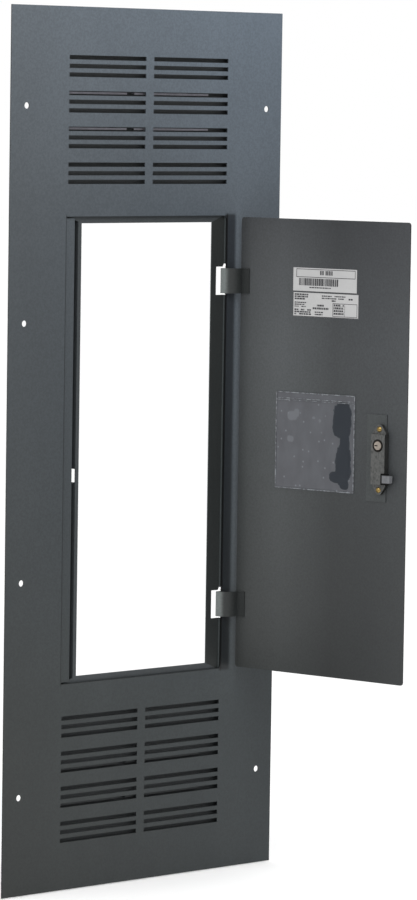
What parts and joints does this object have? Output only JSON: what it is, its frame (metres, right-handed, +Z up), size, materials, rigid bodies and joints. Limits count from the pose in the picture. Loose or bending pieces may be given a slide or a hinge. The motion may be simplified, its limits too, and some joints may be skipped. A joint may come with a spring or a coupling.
{
  "type": "panelboard trim",
  "caption": "Flush vented steel front for a panelboard, with a full-height window, a gooseneck-hinged lockable door, a card pocket on its inner face and slotted vents above and below.",
  "frame": {"origin": "centre of the screw-hole pattern, on the back face of the trim sheet", "axes": "+X to the right seen from the room, +Y back into the wall, +Z up"},
  "size_m": [0.5462, 0.3467, 1.308],
  "materials": {
    "trim_paint": "semi-matt blue-grey baked enamel",
    "door_paint": "semi-matt blue-grey baked enamel",
    "frame_paint": "semi-matt dark grey enamel",
    "baffle_paint": "dark grey enamel",
    "hinge_paint": "dark grey enamel over steel",
    "bare_steel": "zinc-plated steel",
    "lock_case": "grey painted die casting",
    "lock_metal": "blackened steel ring",
    "plug_metal": "dull tan brass",
    "bolt_metal": "dull zinc",
    "brass_screws": "yellow-passivated brass",
    "bezel_plastic": "black moulded plastic",
    "label_stock": "white printed label stock",
    "clear_film": "clear vinyl film"
  },
  "bodies": {
    "trim": {"trim_plate": "trim_paint", "frame_rail_left": "frame_paint", "frame_rail_right": "frame_paint", "frame_header": "frame_paint", "frame_sill": "frame_paint", "upper_vent_baffle": "baffle_paint", "lower_vent_baffle": "baffle_paint", "upper_vent_deflectors": "bare_steel", "lower_vent_deflectors": "bare_steel", "upper_hinge_bracket": "bare_steel", "lower_hinge_bracket": "bare_steel", "upper_hinge_pin": "bare_steel", "lower_hinge_pin": "bare_steel"},
    "door": {"door_panel": "door_paint", "upper_hinge_arm": "hinge_paint", "lower_hinge_arm": "hinge_paint", "lock_mounting_plate": "door_paint", "lock_housing": "lock_case", "lock_cylinder": "lock_metal", "lock_escutcheon": "bezel_plastic", "lock_screws": "brass_screws", "latch_spring": "bare_steel", "rating_label": "label_stock", "wiring_label": "label_stock", "directory_pocket": "clear_film"},
    "plug": {"lock_plug": "plug_metal"},
    "latch": {"latch_bolt": "bolt_metal", "thumb_slide": "bezel_plastic"}
  },
  "joints": [
    {"name": "door_hinge", "type": "hinge", "parent": "trim", "child": "door", "pos_m": [0.178, 0.0065, 0], "axis": [0, 0, 1], "range_deg": [-97, 8]},
    {"name": "plug_turn", "type": "hinge", "parent": "door", "child": "plug", "pos_m": [0.22017, -0.28362, 0.012], "axis": [-0.9925, -0.1219, 0], "range_deg": [0, 90]},
    {"name": "latch_slide", "type": "slide", "parent": "door", "child": "latch", "axis": [-0.1219, 0.9925, 0], "range_m": [0, 0.01], "stiffness_N_per_m": 180, "springref_m": -0.006, "deforming": ["latch_spring"]}
  ]
}
